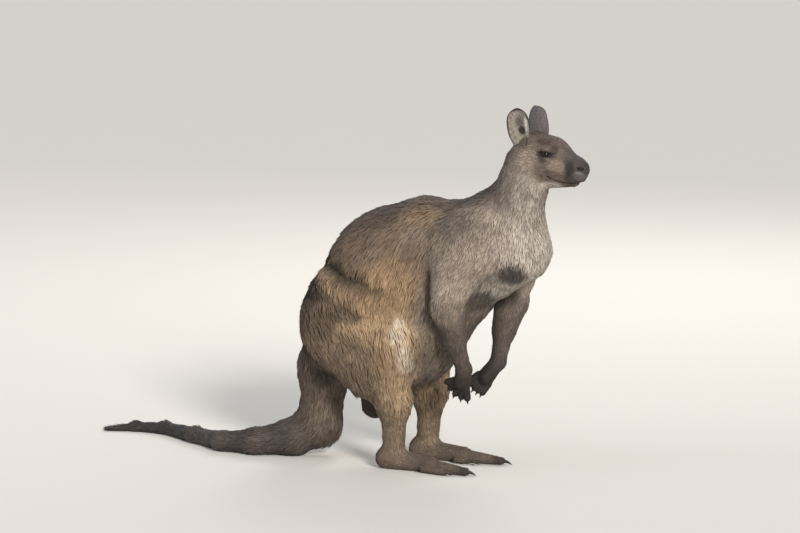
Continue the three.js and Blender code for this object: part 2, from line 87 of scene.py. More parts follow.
def cone(start, end, start_radius, end_radius, wide=1.0, melt=40, hair="back", lie=1, side=1):
    """A rounded cone of flesh. `lie` is +1 where hair lies from start to end, -1 the other way."""
    return {
        "start": mm(start[0], start[1] * side, start[2]),
        "end": mm(end[0], end[1] * side, end[2]),
        "radii": (start_radius * MM, end_radius * MM),
        "wide": wide, "melt": melt * MM, "hair": hair, "lie": lie,
    }


TORSO = [
    cone((255, 0, 645), (80, 0, 598), 106, 131, 0.95, 60, "flank"),
    cone((80, 0, 598), (-80, 0, 520), 132, 164, 0.95, 80, "flank"),
    cone((18, 0, 637), (-62, 0, 606), 106, 108, 0.95, 60, "back"),
    cone((-80, 0, 520), (-172, 0, 395), 164, 158, 0.95, 80, "rump"),
    cone((135, 0, 512), (-10, 0, 375), 114, 130, 1.0, 80, "belly"),
    cone((-10, 0, 375), (-100, 0, 330), 130, 120, 1.0, 80, "belly"),
    cone((165, 0, 690), (240, 0, 720), 54, 62, 1.1, 50, "back", -1),
    cone((312, 0, 690), (312, 0, 630), 70, 97, 0.95, 50, "chest"),
    cone((312, 0, 630), (256, 0, 560), 95, 68, 1.0, 50, "chest"),
]
NECK = [
    cone((288, 0, 690), (341, 0, 802), 88, 65, 0.9, 50, "neck", -1),
    cone((341, 0, 802), (343, 0, 866), 63, 52, 0.9, 40, "neck", -1),
]
TAIL = [
    cone((-200, 0, 420), (-290, 0, 260), 108, 76, 0.9, 60, "tail_root"),
    cone((-290, 0, 260), (-312, 0, 90), 70, 62, 0.95, 40, "tail_root"),
    cone((-312, 0, 90), (-370, -40, 54), 60, 54, 1.0, 30, "tail"),
    cone((-370, -40, 54), (-470, -85, 37), 52, 38, 1.0, 20, "tail"),
    cone((-470, -85, 37), (-580, -80, 27), 38, 29, 1.0, 20, "tail"),
    cone((-580, -80, 27), (-720, -5, 22), 29, 24, 1.0, 20, "tail"),
    cone((-720, -5, 22), (-880, 82, 17), 24, 19, 1.0, 20, "tail_tip"),
    cone((-880, 82, 17), (-980, 82, 13), 19, 15, 1.0, 20, "tail_tip"),
    cone((-980, 82, 13), (-1056, 44, 8), 15, 9, 1.0, 20, "tail_tip"),
]
SAC = [cone((-158, 4, 236), (-136, 8, 156), 26, 38, 0.9, 40, "sac")]
# Each toe: its root and end, the radii there, how softly it melts, its claw's length and radius.
TOES = {
    "great": ((102, 96, 19), (218, 102, 12), 20, 12, 8, 34, 6.5),
    "outer": ((94, 116, 14), (168, 130, 9), 14, 8.5, 6, 24, 4.6),
    "inner_a": ((94, 74, 12), (166, 72, 7.5), 10, 6.5, 5, 15, 2.6),
    "inner_b": ((94, 64, 12), (158, 58, 7.5), 10, 6.5, 4, 15, 2.6),
}


def leg(s):
    """The cones of one hind leg: s is 1 on the left and -1 on the right."""
    upper = [
        cone((-175, 88, 430), (4, 134, 365), 128, 64, 0.75, 60, "thigh", 1, s),
        cone((-205, 90, 360), (-95, 108, 268), 92, 76, 0.75, 50, "ham", 1, s),
        cone((4, 134, 365), (-8, 102, 200), 62, 44, 0.9, 40, "thigh", 1, s),
        cone((-62, 108, 290), (-16, 102, 190), 66, 42, 0.8, 40, "ham", 1, s),
        cone((-8, 102, 200), (-14, 95, 45), 42, 32, 0.82, 30, "shank", 1, s),
        cone((-40, 93, 27), (102, 96, 21), 30, 23, 1.0, 25, "foot", 1, s),
    ]
    toes = [cone(root, end, root_radius, end_radius, 1.0, melt, "foot", 1, s)
            for root, end, root_radius, end_radius, melt, _, _ in TOES.values()]
    return upper + toes


def arm(shoulder, elbow, wrist, palm, s):
    """The cones of one arm and the palm of its hand."""
    half = [(elbow[i] + wrist[i]) / 2 for i in range(3)]
    upper = (shoulder[0] + 10, shoulder[1], shoulder[2] - 40)
    biceps = (elbow[0] + 20, elbow[1], elbow[2] + 60)
    swell = (elbow[0] + 12, elbow[1] - 12 * s, elbow[2] - 25)
    return [
        cone(shoulder, elbow, 82, 47, 0.8, 50, "arm"),
        cone(upper, biceps, 66, 48, 0.8, 40, "arm"),
        cone(elbow, wrist, 42, 22, 0.85, 20, "forearm"),
        cone(swell, half, 42, 29, 0.9, 25, "forearm"),
        cone(wrist, palm, 21, 25, 1.0, 12, "hand"),
    ]


FINGERS = 5
FINGER_LENGTH, FINGER_ROOT, FINGER_END = 34, 11.5, 10.5  # length, and radius at each end
FINGERS_APART = 9
FINGER_START = 6  # from the middle of the palm
FINGER_SHORTER = 3  # how much shorter each finger is than the next one inwards
CLAW_SUNK = 5
FINGER_CLAW = (11, 4.2)  # length and radius
# Each hand: its palm, the way the fingers point, the way they lie side by side, and their fan.
HAND = {
    1: {"palm": (212, 22, 258), "reach": (-0.53, -0.51, -0.68),
        "across": (0.55, 0.3, -0.7), "fan": 6},
    -1: {"palm": (186, -62, 254), "reach": (-0.57, 0.05, -0.82),
         "across": (0.82, 0.05, -0.57), "fan": 20},
}
# Each arm: its shoulder, elbow and wrist.
ARM = {
    1: ((245, 105, 660), (232, 132, 478), (232, 60, 300)),
    -1: ((232, -105, 655), (165, -135, 470), (197, -72, 292)),
}


def unit(v):
    v = np.asarray(v, float)
    return v / np.linalg.norm(v)


def digits(s):
    """Each finger's root, tip and direction, in millimetres, as in the CAD model."""
    facts = HAND[s]
    way = unit(facts["reach"])
    across = np.array(facts["across"])
    spread = unit(across - across @ way * way)
    back = np.cross(way, spread)
    made = []
    for i in range(FINGERS):
        order = i - (FINGERS - 1) / 2
        turned = Matrix.Rotation(math.radians(facts["fan"] * order), 3, Vector(back)) @ Vector(way)
        along = np.array(turned)
        start = np.array(facts["palm"]) + spread * order * FINGERS_APART + way * FINGER_START
        end = start + along * (FINGER_LENGTH - abs(order) * FINGER_SHORTER)
        made.append((start, end, along))
    return made


def hand(s):
    return [cone(a, b, FINGER_ROOT, FINGER_END, 1.0, 3, "hand") for a, b, _ in digits(s)]


# The head in its own frame: x to the nose, z up, the origin in its middle.
SKULL = [
    cone((-40, 0, 15), (22, 0, 14), 54, 47, 0.9, 20, "head", -1),
    cone((-36, 0, -24), (34, 0, -24), 56, 46, 0.85, 25, "head", -1),
    cone((22, 0, 8), (104, 0, -10), 43, 32, 0.82, 25, "muzzle", -1),
    cone((104, 0, -6), (118, 0, -9), 27, 22, 0.95, 10, "muzzle", -1),
    cone((100, 0, -26), (114, 0, -30), 24, 19, 0.95, 10, "muzzle", -1),
    cone((-15, 0, -60), (98, 0, -46), 28, 16, 0.95, 14, "head", -1),
]
# The other groups of cones, each with how softly it melts into the rest, in millimetres.
GROUPS = [
    ("neck", NECK, 60), ("tail", TAIL, 60), ("leg_right", leg(-1), 35), ("leg_left", leg(1), 35),
    ("arm_right", arm(*ARM[-1], HAND[-1]["palm"], -1), 18),
    ("arm_left", arm(*ARM[1], HAND[1]["palm"], 1), 18),
    ("hand_right", hand(-1), 3), ("hand_left", hand(1), 3),
    ("sac", SAC, 25),
]

HEAD_TURNED = np.array(Matrix.Rotation(HEAD_TURN, 3, "Z") @ Matrix.Rotation(HEAD_NOD, 3, "Y"))


def to_head(points):
    """From the pose frame to the head's own frame."""
    return (points - HEAD_MIDDLE) @ HEAD_TURNED


def from_head(points):
    """From the head's own frame to the pose frame."""
    return points @ HEAD_TURNED.T + HEAD_MIDDLE


def by_head(points, reach):
    """Which points lie in a cube round the head, `reach` to each side of its middle."""
    return np.abs(points - HEAD_MIDDLE.astype(points.dtype)).max(1) < reach


# Where the pose frame's origin is in the scene, found from the right eye. It differs in x alone.
eye_low, eye_high = (np.array(corner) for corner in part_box("eye_right"))
ANCHOR = (eye_low + eye_high) / 2 - from_head((EYE_CENTRE * (1, -1, 1))[None])[0]
ANCHOR[1:] = 0

# ---- The field: below zero inside the flesh ----
FAR = 1.0  # stands for any great distance, in metres


def cone_distance(points, c):
    """How far each point is from a rounded cone, less than zero inside it."""
    along = c["end"] - c["start"]
    offset = points - c["start"].astype(F32)
    share = np.clip(offset @ along.astype(F32) / (along @ along), 0, 1)
    offset = offset - share[:, None] * along.astype(F32)
    if c["wide"] != 1:
        offset[:, 1] /= c["wide"]
    radius = c["radii"][0] + (c["radii"][1] - c["radii"][0]) * share
    return (np.sqrt((offset * offset).sum(1)) - radius) * min(1.0, c["wide"])


def melted(a, b, reach):
    """The two fields joined, with a soft run from one to the other where they are about equal."""
    near = np.maximum(reach - np.abs(a - b), 0) / reach
    return np.minimum(a, b) - near * near * reach / 4


def smooth(low, high, x):
    """From 0 at the low value to 1 at the high one, with a soft start and end."""
    t = np.clip((x - low) / (high - low), 0, 1)
    return t * t * (3 - 2 * t)


def body_distance(points, cones, seen=None):
    """The field of a group of cones. The list `seen` gathers each cone with its own distances."""
    total = None
    for c in cones:
        d = cone_distance(points, c)
        if seen is not None:
            seen.append((c, d))
        total = d if total is None else melted(total, d, c["melt"])
    return total


def flesh(points, seen=None):
    """The signed field of the whole animal, out to the tips of the coat."""
    points = points.astype(F32)
    total = body_distance(points, TORSO, seen)
    for name, cones, melt in GROUPS:
        part = body_distance(points, cones, seen)
        if name.startswith("leg"):
            side = 1 if name.endswith("left") else -1
            part = np.maximum(part, LEG_INNER - points[:, 1] * side)
        reach = melt * MM
        if name.startswith("arm"):
            reach = reach + SHOULDER_MELT * smooth(*SHOULDER_RISE, points[:, 2])
        total = melted(total, part, reach)
    near = by_head(points, 0.26)
    if near.any():
        local = to_head(points[near])
        record = [] if seen is not None else None
        skull = body_distance(local, SKULL, record)
        total[near] = melted(total[near], skull, HEAD_MELT)
        if seen is not None:
            for c, d in record:
                whole = np.full(len(points), FAR, F32)
                whole[near] = d
                seen.append((c, whole))
    return np.maximum(total + folds(points), -points[:, 2])


# Creases in the skin, each a run of points (x, z) over both flanks, its half width and its depth.
FOLDS = [
    ([(-262, 596), (-205, 562), (-140, 540), (-85, 530), (-40, 512)], 24, 11),
    ([(-255, 470), (-200, 474), (-145, 464), (-95, 430)], 22, 8),
    ([(-150, 372), (-110, 349)], 20, 5),
    ([(118, 565), (122, 520), (128, 463), (160, 400)], 20, 7),
    ([(-320, 275), (-262, 240), (-216, 222)], 20, 8),
]
FOLDS_FROM = 0.07  # how far from the middle plane they start


def folds(points):
    """How much the creases pull the surface in. They leave out the middle of the body."""
    total = np.zeros(len(points), F32)
    flank = np.abs(points[:, 1]) > FOLDS_FROM
    if not flank.any():
        return total
    flat = points[flank][:, [0, 2]]
    for path, half, deep in FOLDS:
        total[flank] += (deep * MM * np.exp(-(path_gap(flat, path) / (half * MM)) ** 2)).astype(F32)
    return total


def path_gap(flat, path):
    """How far each point of a plane is from a path given in millimetres."""
    nearest = np.full(len(flat), FAR)
    for a, b in zip(path, path[1:]):
        a, b = mm(*a), mm(*b)
        share = np.clip((flat - a) @ (b - a) / ((b - a) @ (b - a)), 0, 1)
        nearest = np.minimum(nearest, np.linalg.norm(flat - a - share[:, None] * (b - a), axis=1))
    return nearest


# ---- Coat: its length and lie at any point ----
# How much the hair of a region hangs down from the line of its cone.
DROOP = {"back": 0.5, "flank": 2.4, "rump": 1.5, "belly": 0.6, "thigh": 1.1, "ham": 0.8,
         "tail_root": 0.3, "chest": 0.6, "arm": 0.2, "neck": 0.3}
REGION_BLEND = 0.011  # how far the hair of one cone runs into the next, in metres


def coat_at(points):
    """Hair length, lie (a direction), the cones' weights and their regions' names, at each point."""
    seen = []
    flesh(points, seen)
    names = [c["hair"] for c, _ in seen]
    gaps = np.stack([d for _, d in seen], 1)
    weights = np.exp(-(gaps - gaps.min(1, keepdims=True)) / REGION_BLEND)
    weights /= weights.sum(1, keepdims=True)
    lengths = weights @ np.array([HAIR[n] for n in names], F32) * MM
    axes = []
    for c, _ in seen:
        along = unit(c["end"] - c["start"]) * c["lie"]
        if any(c is bone for bone in SKULL):
            along = HEAD_TURNED @ along
        axes.append(unit(along + np.array([0, 0, -DROOP.get(c["hair"], 0)])))
    return lengths, weights @ np.array(axes), weights, names


# ---- Skin ----
GRID = 6 * MM  # the size of a cell of the first mesh
BLOCK = 8  # cells along each side of a block
FIRST_DEPTH = 4 * MM  # how deep in the flesh the first mesh lies, before it settles
EYE_OPEN = (17 * MM, 5.6 * MM)  # half length and half height of the gap between the lids
EYE_HOLLOW = 11.5 * MM  # how far from the eye's middle the gap reaches in
LID_RADIUS = 16 * MM
NOSTRIL = mm(121, 16, -5)
NOSTRIL_RADIUS = 6.5 * MM
# The line between the lips, seen from the side: x and z.
MOUTH = [(140, -38), (121, -45), (102, -51), (80, -53), (56, -51), (34, -44)]
LIPS_HALF = 2.4 * MM  # the half width and the depth of the groove between them
LIPS_DEEP = 2.5 * MM
CORNER_STEP = 0.4 * MM  # how far round a point the field's slope is felt out
SETTLE_STEP = 4 * MM  # how far a point moves at most in one round
TINY = 1e-9  # keeps a length that's divided by above zero


def eye_frame(side):
    """Where an eye sits on the head, and its directions: outwards, along the lids and up."""
    centre = EYE_CENTRE * (1, side, 1)
    out = unit((0.3, 0.93 * side, 0.12))
    along = unit(np.cross((0, 0, 1), out)) * -side
    along = unit(along + np.array((0, 0, 0.06)))
    up = unit(np.cross(along, out)) * side
    return centre, out, along, up


def round_lids(offset, along, up, wider=0.0, taller=0.0):
    """The oval gap between the lids, wider and taller by so much: 1 on its edge, less inside."""
    across = (offset @ along) / (EYE_OPEN[0] + wider)
    rise = (offset @ up) / (EYE_OPEN[1] + taller)
    return np.sqrt(across ** 2 + rise ** 2)


def round_nostril(local, side, stretch):
    """How far each point is from a nostril's middle, in a space stretched along x, y and z."""
    return np.linalg.norm((local - NOSTRIL * (1, side, 1)) / stretch, axis=1)


def face(local, skull):
    """Adds the lids, brows, nostrils and mouth to the skull's field, in the head's own frame."""
    for side in (1, -1):
        centre, out, along, up = eye_frame(side)
        offset = local - centre
        far = np.linalg.norm(offset, axis=1)
        skull = melted(skull, far - LID_RADIUS, 9 * MM)
        brow = np.linalg.norm((offset - up * 14 * MM - out * 2 * MM) / (2.4, 1, 0.8), axis=1)
        skull = melted(skull, brow - 7.5 * MM, 10 * MM)
        gap = (round_lids(offset, along, up) - 1) * EYE_OPEN[1]
        gap = np.maximum(np.maximum(gap, EYE_HOLLOW - far), -(offset @ out))
        skull = np.maximum(skull, -gap)
        hole = round_nostril(local, side, (1.7, 0.9, 0.7)) - NOSTRIL_RADIUS
        skull = np.maximum(skull, -hole)
    return skull + LIPS_DEEP * np.exp(-(mouth_gap(local) / LIPS_HALF) ** 2)


def mouth_gap(local):
    """How far a point of the head is, seen from the side, from the line between the lips."""
    return path_gap(local[:, [0, 2]], MOUTH)


def coat_depth(points):
    """How deep under the tips of the coat the skin lies at each point."""
    return coat_at(points)[0] * DEPTH_OF_LENGTH


def skin_field(points, depth):
    """The signed field of the skin."""
    field = flesh(points) + depth
    near = by_head(points, 0.16)
    if near.any():
        local = to_head(points[near])
        field[near] = face(local, field[near])
    return field


def settle(points, rounds=3):
    """Moves points onto the skin along the field's slope, found from four corners round each."""
    corners = np.array([(1, -1, -1), (-1, -1, 1), (-1, 1, -1), (1, 1, 1)], float)
    for _ in range(rounds):
        depth = coat_depth(points)
        here = skin_field(points, depth)
        slope = sum(corner * skin_field(points + corner * CORNER_STEP, depth)[:, None]
                    for corner in corners)
        slope /= np.linalg.norm(slope, axis=1, keepdims=True) + TINY
        points = points - np.clip(here, -SETTLE_STEP, SETTLE_STEP)[:, None] * slope
    points[:, 2] = np.maximum(points[:, 2], 0.2 * MM)
    return points


def voxels(low, high):
    """The field on a grid, worked out only in the blocks near the surface."""
    counts = np.ceil((high - low) / (GRID * BLOCK)).astype(int)
    blocks = np.indices(counts).reshape(3, -1).T
    centres = low + (blocks + 0.5) * GRID * BLOCK
    coarse = flesh(centres)
    grid = coarse.reshape(counts)
    for axis in range(3):
        grid = np.repeat(grid, BLOCK, axis)
    near = blocks[np.abs(coarse) < GRID * BLOCK + 0.03]
    inner = np.indices([BLOCK] * 3).reshape(3, -1).T
    for batch in np.array_split(near, max(1, len(near) // 200)):
        cells = (batch[:, None] * BLOCK + inner).reshape(-1, 3)
        grid[tuple(cells.T)] = flesh(low + cells * GRID) + FIRST_DEPTH
    return grid


def first_mesh():
    """A first, even mesh of the whole animal: its points, in the pose frame, and its quads."""
    low, high = mm(-1110, -230, -30), mm(620, 230, 1090)
    grid = openvdb.FloatGrid(1.0)
    grid.copyFromArray(voxels(low, high))
    points, quads = grid.convertToQuads(isovalue=0.0)
    return points.astype(float) * GRID + low, quads.astype(int)


def detailed(points):
    """How many times the mesh is divided: twice at the face, once on the head, hands and feet."""
    local = to_head(points)
    head = np.linalg.norm(local - mm(20, 0, 0), axis=1) < 0.15
    face_near = head & (local[:, 0] > -0.015)
    hands = np.linalg.norm(points - mm(205, -20, 262), axis=1) < 0.11
    feet = (points[:, 2] < 0.045) & (points[:, 0] > 0.06)
    return (head | hands | feet).astype(int) + face_near


def divide(mesh, chosen_level):
    """Halves the edges of the faces that are to be divided at least so many times."""
    bm = bmesh.new()
    bm.from_mesh(mesh)
    points = np.array([v.co[:] for v in bm.verts])
    level = detailed(points - ANCHOR) >= chosen_level
    faces = [f for f in bm.faces if all(level[v.index] for v in f.verts)]
    edges = {e for f in faces for e in f.edges}
    bmesh.ops.subdivide_edges(bm, edges=list(edges), cuts=1, use_grid_fill=True)
    bmesh.ops.triangulate(bm, faces=[f for f in bm.faces if len(f.verts) > 4])
    bm.to_mesh(mesh)
    bm.free()


def mesh_of(name, points, faces):
    """A new mesh from points of the pose frame."""
    mesh = bpy.data.meshes.new(name)
    mesh.from_pydata((points + ANCHOR).tolist(), [], faces)
    return mesh


def vertices_of(mesh):
    """The places of a mesh's vertices, as one array."""
    flat = np.empty(len(mesh.vertices) * 3, F32)
    mesh.vertices.foreach_get("co", flat)
    return flat.reshape(-1, 3).astype(float)


def set_vertices(mesh, points):
    mesh.vertices.foreach_set("co", points.astype(F32).ravel())
    mesh.update()


def make_skin():
    """The skin's mesh, and its points in the pose frame."""
    points, quads = first_mesh()
    points = settle(points)
    mesh = mesh_of("skin", points, quads.tolist())
    for level in (1, 2):
        divide(mesh, level)
        points = settle(vertices_of(mesh) - ANCHOR, 2)
        set_vertices(mesh, points + ANCHOR)
    mesh.shade_smooth()
    return mesh, points


def add_to_scene(name, data):
    thing = bpy.data.objects.new(name, data)
    bpy.context.scene.collection.objects.link(thing)
    return thing


def add_object(name, mesh, material, replaces=()):
    """Puts a mesh in the scene, riding on the model's one body."""
    thing = add_to_scene(name, mesh)
    mesh.materials.append(material)
    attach(thing, "root")
    if replaces:
        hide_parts(*replaces)


# ---- Markings, with painted shade and a painted highlight: the same on the skin and the coat ----
BASE_COLOUR = {
    "back": (0.145, 0.106, 0.082), "flank": (0.235, 0.16, 0.098), "rump": (0.118, 0.084, 0.058),
    "belly": (0.19, 0.148, 0.112), "chest": (0.5, 0.44, 0.375), "neck": (0.21, 0.175, 0.148),
    "head": (0.21, 0.158, 0.122), "muzzle": (0.068, 0.055, 0.05), "arm": (0.335, 0.272, 0.215),
    "forearm": (0.105, 0.08, 0.066), "hand": (0.017, 0.012, 0.01), "thigh": (0.35, 0.242, 0.145),
    "ham": (0.142, 0.102, 0.07), "shank": (0.225, 0.166, 0.105), "foot": (0.12, 0.09, 0.068),
    "tail_root": (0.11, 0.081, 0.058), "tail": (0.075, 0.058, 0.05), "tail_tip": (0.04, 0.033, 0.029),
    # The sac's dark brown also holds painted shade, where it hangs between the legs.
    "sac": (0.05, 0.034, 0.022),
}


def patch(centre, size, colour, strength=0.8):
    """A soft patch of colour: its centre and half sizes in millimetres, and how much it covers."""
    return {"centre": mm(*centre), "size": mm(*size), "colour": colour, "strength": strength}


# The body's patches, each an ellipsoid in the pose frame, on both sides of the body. Some are painted
# shade in the folds, the armpit and between parts.
PATCHES = [patch(*spot) for spot in (
    ((60, 0, 790), (330, 150, 70), (0.11, 0.084, 0.07)),  # the dark line of the back
    ((-120, 0, 680), (200, 130, 80), (0.1, 0.074, 0.056)),
    ((230, 0, 770), (90, 110, 60), (0.125, 0.097, 0.078)),  # withers
    ((5, 165, 505), (100, 75, 115), (0.3, 0.198, 0.11), 0.9),  # golden flank
    ((-70, 130, 630), (80, 80, 50), (0.13, 0.096, 0.07), 0.5),
    ((80, 130, 660), (60, 80, 60), (0.225, 0.172, 0.132), 0.7),  # greyer behind the shoulder
    ((114, 130, 322), (60, 70, 86), (0.11, 0.084, 0.062), 0.8),  # belly before the thigh: brown fur, darkened with painted shade
    ((32, 150, 412), (22, 70, 46), (0.5, 0.415, 0.31), 0.85),  # the pale front of the thigh
    ((52, 150, 342), (21, 70, 56), (0.5, 0.415, 0.315), 0.9),
    ((64, 150, 262), (20, 70, 60), (0.33, 0.265, 0.19), 0.7),
    ((-120, 170, 330), (80, 70, 80), (0.16, 0.115, 0.076), 0.75),  # the fluffy ham
    ((-220, 150, 440), (90, 90, 90), (0.095, 0.068, 0.048), 0.85),  # rump
    ((-189, 150, 570), (74, 80, 26), (0.03, 0.021, 0.014), 0.85),  # painted shade of the first fold, just above it
    ((-125, 160, 450), (56, 60, 27), (0.045, 0.031, 0.021), 0.7),  # painted shade at the end of the second fold
    ((-262, 120, 500), (56, 80, 62), (0.04, 0.028, 0.02), 0.85),
    # painted shade along the first fold
    ((-110, 150, 545), (66, 70, 22), (0.06, 0.042, 0.028), 0.6),
    ((-266, 90, 246), (62, 70, 26), (0.035, 0.026, 0.019), 0.8),  # painted shade between the ham and the tail
    ((-300, 0, 180), (60, 110, 90), (0.125, 0.096, 0.072), 0.6),
    ((330, 95, 650), (50, 60, 50), (0.28, 0.235, 0.195), 0.5),  # side of the chest
    ((312, 50, 530), (60, 60, 36), (0.44, 0.39, 0.33), 0.7),
    ((348, 66, 575), (48, 60, 38), (0.055, 0.043, 0.041), 0.95),  # dark patch of the chest
    ((248, 60, 490), (52, 66, 42), (0.04, 0.03, 0.024), 0.8),  # painted shade in the armpit
    ((132, 135, 490), (26, 60, 120), (0.065, 0.046, 0.033), 0.75),  # behind the arm: brown fur, darkened with painted shade
    ((236, 115, 692), (84, 66, 60), (0.115, 0.092, 0.078), 0.8),  # shoulder
    ((378, 46, 785), (44, 44, 74), (0.35, 0.302, 0.262), 0.75),  # side of the neck
    ((420, 0, 780), (40, 40, 90), (0.3, 0.262, 0.226), 0.8),  # throat
    ((15, 110, 120), (40, 40, 60), (0.2, 0.146, 0.1), 0.5),
    ((235, 110, 15), (50, 40, 30), (0.045, 0.034, 0.028), 0.9),  # toes
)]
# The face's patches, in the head's own frame; one is a painted highlight at a nostril.
FACE_PATCHES = [patch(*spot) for spot in (
    ((-30, 0, 75), (50, 60, 26), (0.095, 0.068, 0.052)),  # crown
    ((42, 0, 60), (36, 34, 22), (0.13, 0.1, 0.088)),  # forehead
    ((10, 40, 50), (36, 24, 12), (0.07, 0.048, 0.036), 0.8),  # brow
    ((46, 34, 28), (13, 22, 24), (0.045, 0.034, 0.032), 0.85),  # in front of the eye
    ((17, 44, 2), (17, 20, 12), (0.06, 0.045, 0.04), 0.7),  # under the eye
    ((60, 34, -14), (28, 24, 26), (0.33, 0.25, 0.19), 0.8),  # cheek
    ((-22, 50, -8), (38, 24, 32), (0.35, 0.285, 0.22), 0.8),  # temple
    ((52, 36, -32), (32, 20, 12), (0.15, 0.096, 0.072), 0.75),  # above the lips
    ((48, 24, -70), (46, 40, 15), (0.7, 0.63, 0.53), 0.95),  # jaw
    ((98, 0, 24), (36, 26, 20), (0.1, 0.085, 0.088), 0.9),  # bridge of the nose
    ((96, 26, -10), (16, 16, 26), (0.032, 0.025, 0.022), 0.8),  # side of the muzzle
    ((122, 14, -25), (22, 18, 15), (0.15, 0.13, 0.132), 0.8),  # upper lip
    ((100, 20, -40), (20, 16, 10), (0.08, 0.06, 0.052), 0.8),
    ((138, 0, -2), (12, 26, 20), (0.045, 0.037, 0.036), 0.7),  # tip of the nose
    ((122, 20, -16), (13, 10, 4), (0.3, 0.275, 0.27), 0.7),  # painted highlight at the edge of the nostril
    ((104, 0, -62), (28, 24, 9), (0.075, 0.05, 0.036), 0.85),  # chin
)]
DARK_SKIN = (0.012, 0.01, 0.009)
LIP = (0.022, 0.014, 0.012)
# painted shade in the creases of the skin
CREASE_SHADE = (0.075, 0.048, 0.028)
# dark lid rims, widened into painted shade round the eyes
LID_AND_SHADE = (0.02, 0.014, 0.011)
FACE_REACH = 0.17  # how far from the head's middle the markings of the face reach
SKIN_SHADE = 0.6  # painted shade: how dark the skin is between the tufts, as a share of their colour


def painted(points, colours, patches):
    """Lays soft patches over the colours."""
    folded = np.array(points)
    folded[:, 1] = np.abs(folded[:, 1])
    for spot in patches:
        reach = np.linalg.norm((folded - spot["centre"]) / spot["size"], axis=1)
        share = spot["strength"] * (1 - smooth(0.55, 1.15, reach))
        colours += share[:, None] * (np.array(spot["colour"]) - colours)
    return colours


def blended(colours, target, share):
    """The colours, each moved by its own share towards one colour."""
    return colours + share[:, None] * (np.array(target) - colours)


def markings(points):
    """The coat's colour at each point of the pose frame, with painted shade in the creases and patches."""
    _, _, weights, names = coat_at(points)
    colours = weights @ np.array([BASE_COLOUR[n] for n in names])
    colours = painted(points, colours, PATCHES)
    # Painted shade: each crease is darkened as deeply as it pulls the skin in.
    crease = np.clip(folds(points) / (10 * MM), 0, 1)
    colours = blended(colours, CREASE_SHADE, 0.6 * crease ** 2)
    near = by_head(points, FACE_REACH)
    if near.any():
        colours[near] = face_markings(to_head(points[near]), colours[near])
    return colours


def face_markings(local, colours):
    """Adds the patches of the face, the lips, the dark rims of the eyes with painted shade round them, and
    the nostrils.
    """
    colours = painted(local, colours, FACE_PATCHES)
    colours = blended(colours, LIP, 0.95 * np.exp(-(mouth_gap(local) / (3.2 * MM)) ** 2))
    for side in (1, -1):
        centre, out, along, up = eye_frame(side)
        offset = local - centre
        # The lids' dark rims, with painted shade round each eye.
        rim = 1 - smooth(0.9, 1.35, round_lids(offset, along, up, 5 * MM, 3 * MM))
        rim *= (np.linalg.norm(offset, axis=1) < 0.024) & (offset @ out > 0)
        colours = blended(colours, LID_AND_SHADE, rim)
        hole = round_nostril(local, side, (2.0, 1.2, 0.9))
        colours = blended(colours, DARK_SKIN, 1 - smooth(5.5 * MM, 7.5 * MM, hole))
    return colours


def waves(points, length, seed, count=6):
    """Smooth noise between about -1 and 1, with waves of the given length."""
    rng = np.random.default_rng(seed)
    ways = rng.normal(size=(count, 3))
    ways /= np.linalg.norm(ways, axis=1, keepdims=True)
    ways *= 2 * math.pi / length * rng.uniform(0.7, 1.5, (count, 1))
    return np.sin(points @ ways.T + rng.uniform(0, 2 * math.pi, count)).mean(1) * 1.8


def mottled(points, colours):
    """Broad and fine unevenness of the coat."""
    broad = 1 + 0.10 * waves(points, 0.16, 1) + 0.08 * waves(points, 0.045, 2)
    return colours * broad[:, None]


def paint(mesh, colours):
    """Stores one colour at each vertex of a mesh, for its material."""
    layer = mesh.color_attributes.new("fur_colour", "FLOAT_COLOR", "POINT")
    flat = np.ones((len(mesh.vertices), 4), F32)
    flat[:, :3] = colours
    layer.data.foreach_set("color", flat.ravel())


# ---- Tufts ----
# Each piece of the coat, with the middle line it is unwrapped round (the head's in its own frame).
PIECES = {
    "coat_head": ((-60, 0, 0), (90, 0, 0)),
    "coat_neck": ((300, 0, 640), (400, 0, 860)),
    "coat_front_right": ((260, -20, 620), (60, -20, 580)),
    "coat_front_left": ((260, 20, 620), (60, 20, 580)),
    "coat_back_right": ((60, -20, 560), (-170, -20, 420)),
    "coat_back_left": ((60, 20, 560), (-170, 20, 420)),
    "coat_leg_right": ((-60, -115, 400), (5, -110, 60)),
    "coat_leg_left": ((-60, 115, 400), (5, 110, 60)),
    "coat_arm_right": ((200, -115, 600), (190, -70, 280)),
    "coat_arm_left": ((240, 115, 620), (225, 40, 280)),
    "coat_tail": ((-240, 0, 330), (-950, 40, 20)),
}
# Which regions' hair goes into a piece of its own. The rest goes by its place on the trunk.
PIECE_HAIRS = {
    "coat_leg": ("thigh", "ham", "shank", "foot"), "coat_arm": ("arm", "forearm", "hand"),
    "coat_head": ("head", "muzzle"), "coat_neck": ("neck", "chest"),
    "coat_tail": ("tail_root", "tail", "tail_tip"),
}
PAIRED = ("coat_leg", "coat_arm")
TRUNK_SPLIT = 0.06  # where the front of the trunk's coat ends, along x
PIECE_LIMIT = 19800  # tufts of ten triangles each, so that a piece stays under 200,000
TUFT_PATCH = 0.003  # how wide each tuft's patch is on the map OFBake
COAT_MARGIN = 0.02


def piece_of(points, weights, names):
    """Which piece of the coat each tuft belongs to."""
    main = np.array(names)[weights.argmax(1)]
    side = np.where(points[:, 1] < 0, "_right", "_left")
    trunk = np.where(points[:, 0] > TRUNK_SPLIT, "coat_front", "coat_back")
    chosen = np.char.add(trunk, side)
    for piece, hairs in PIECE_HAIRS.items():
        named = np.char.add(piece, side) if piece in PAIRED else piece
        chosen = np.where(np.isin(main, hairs), named, chosen)
    return chosen


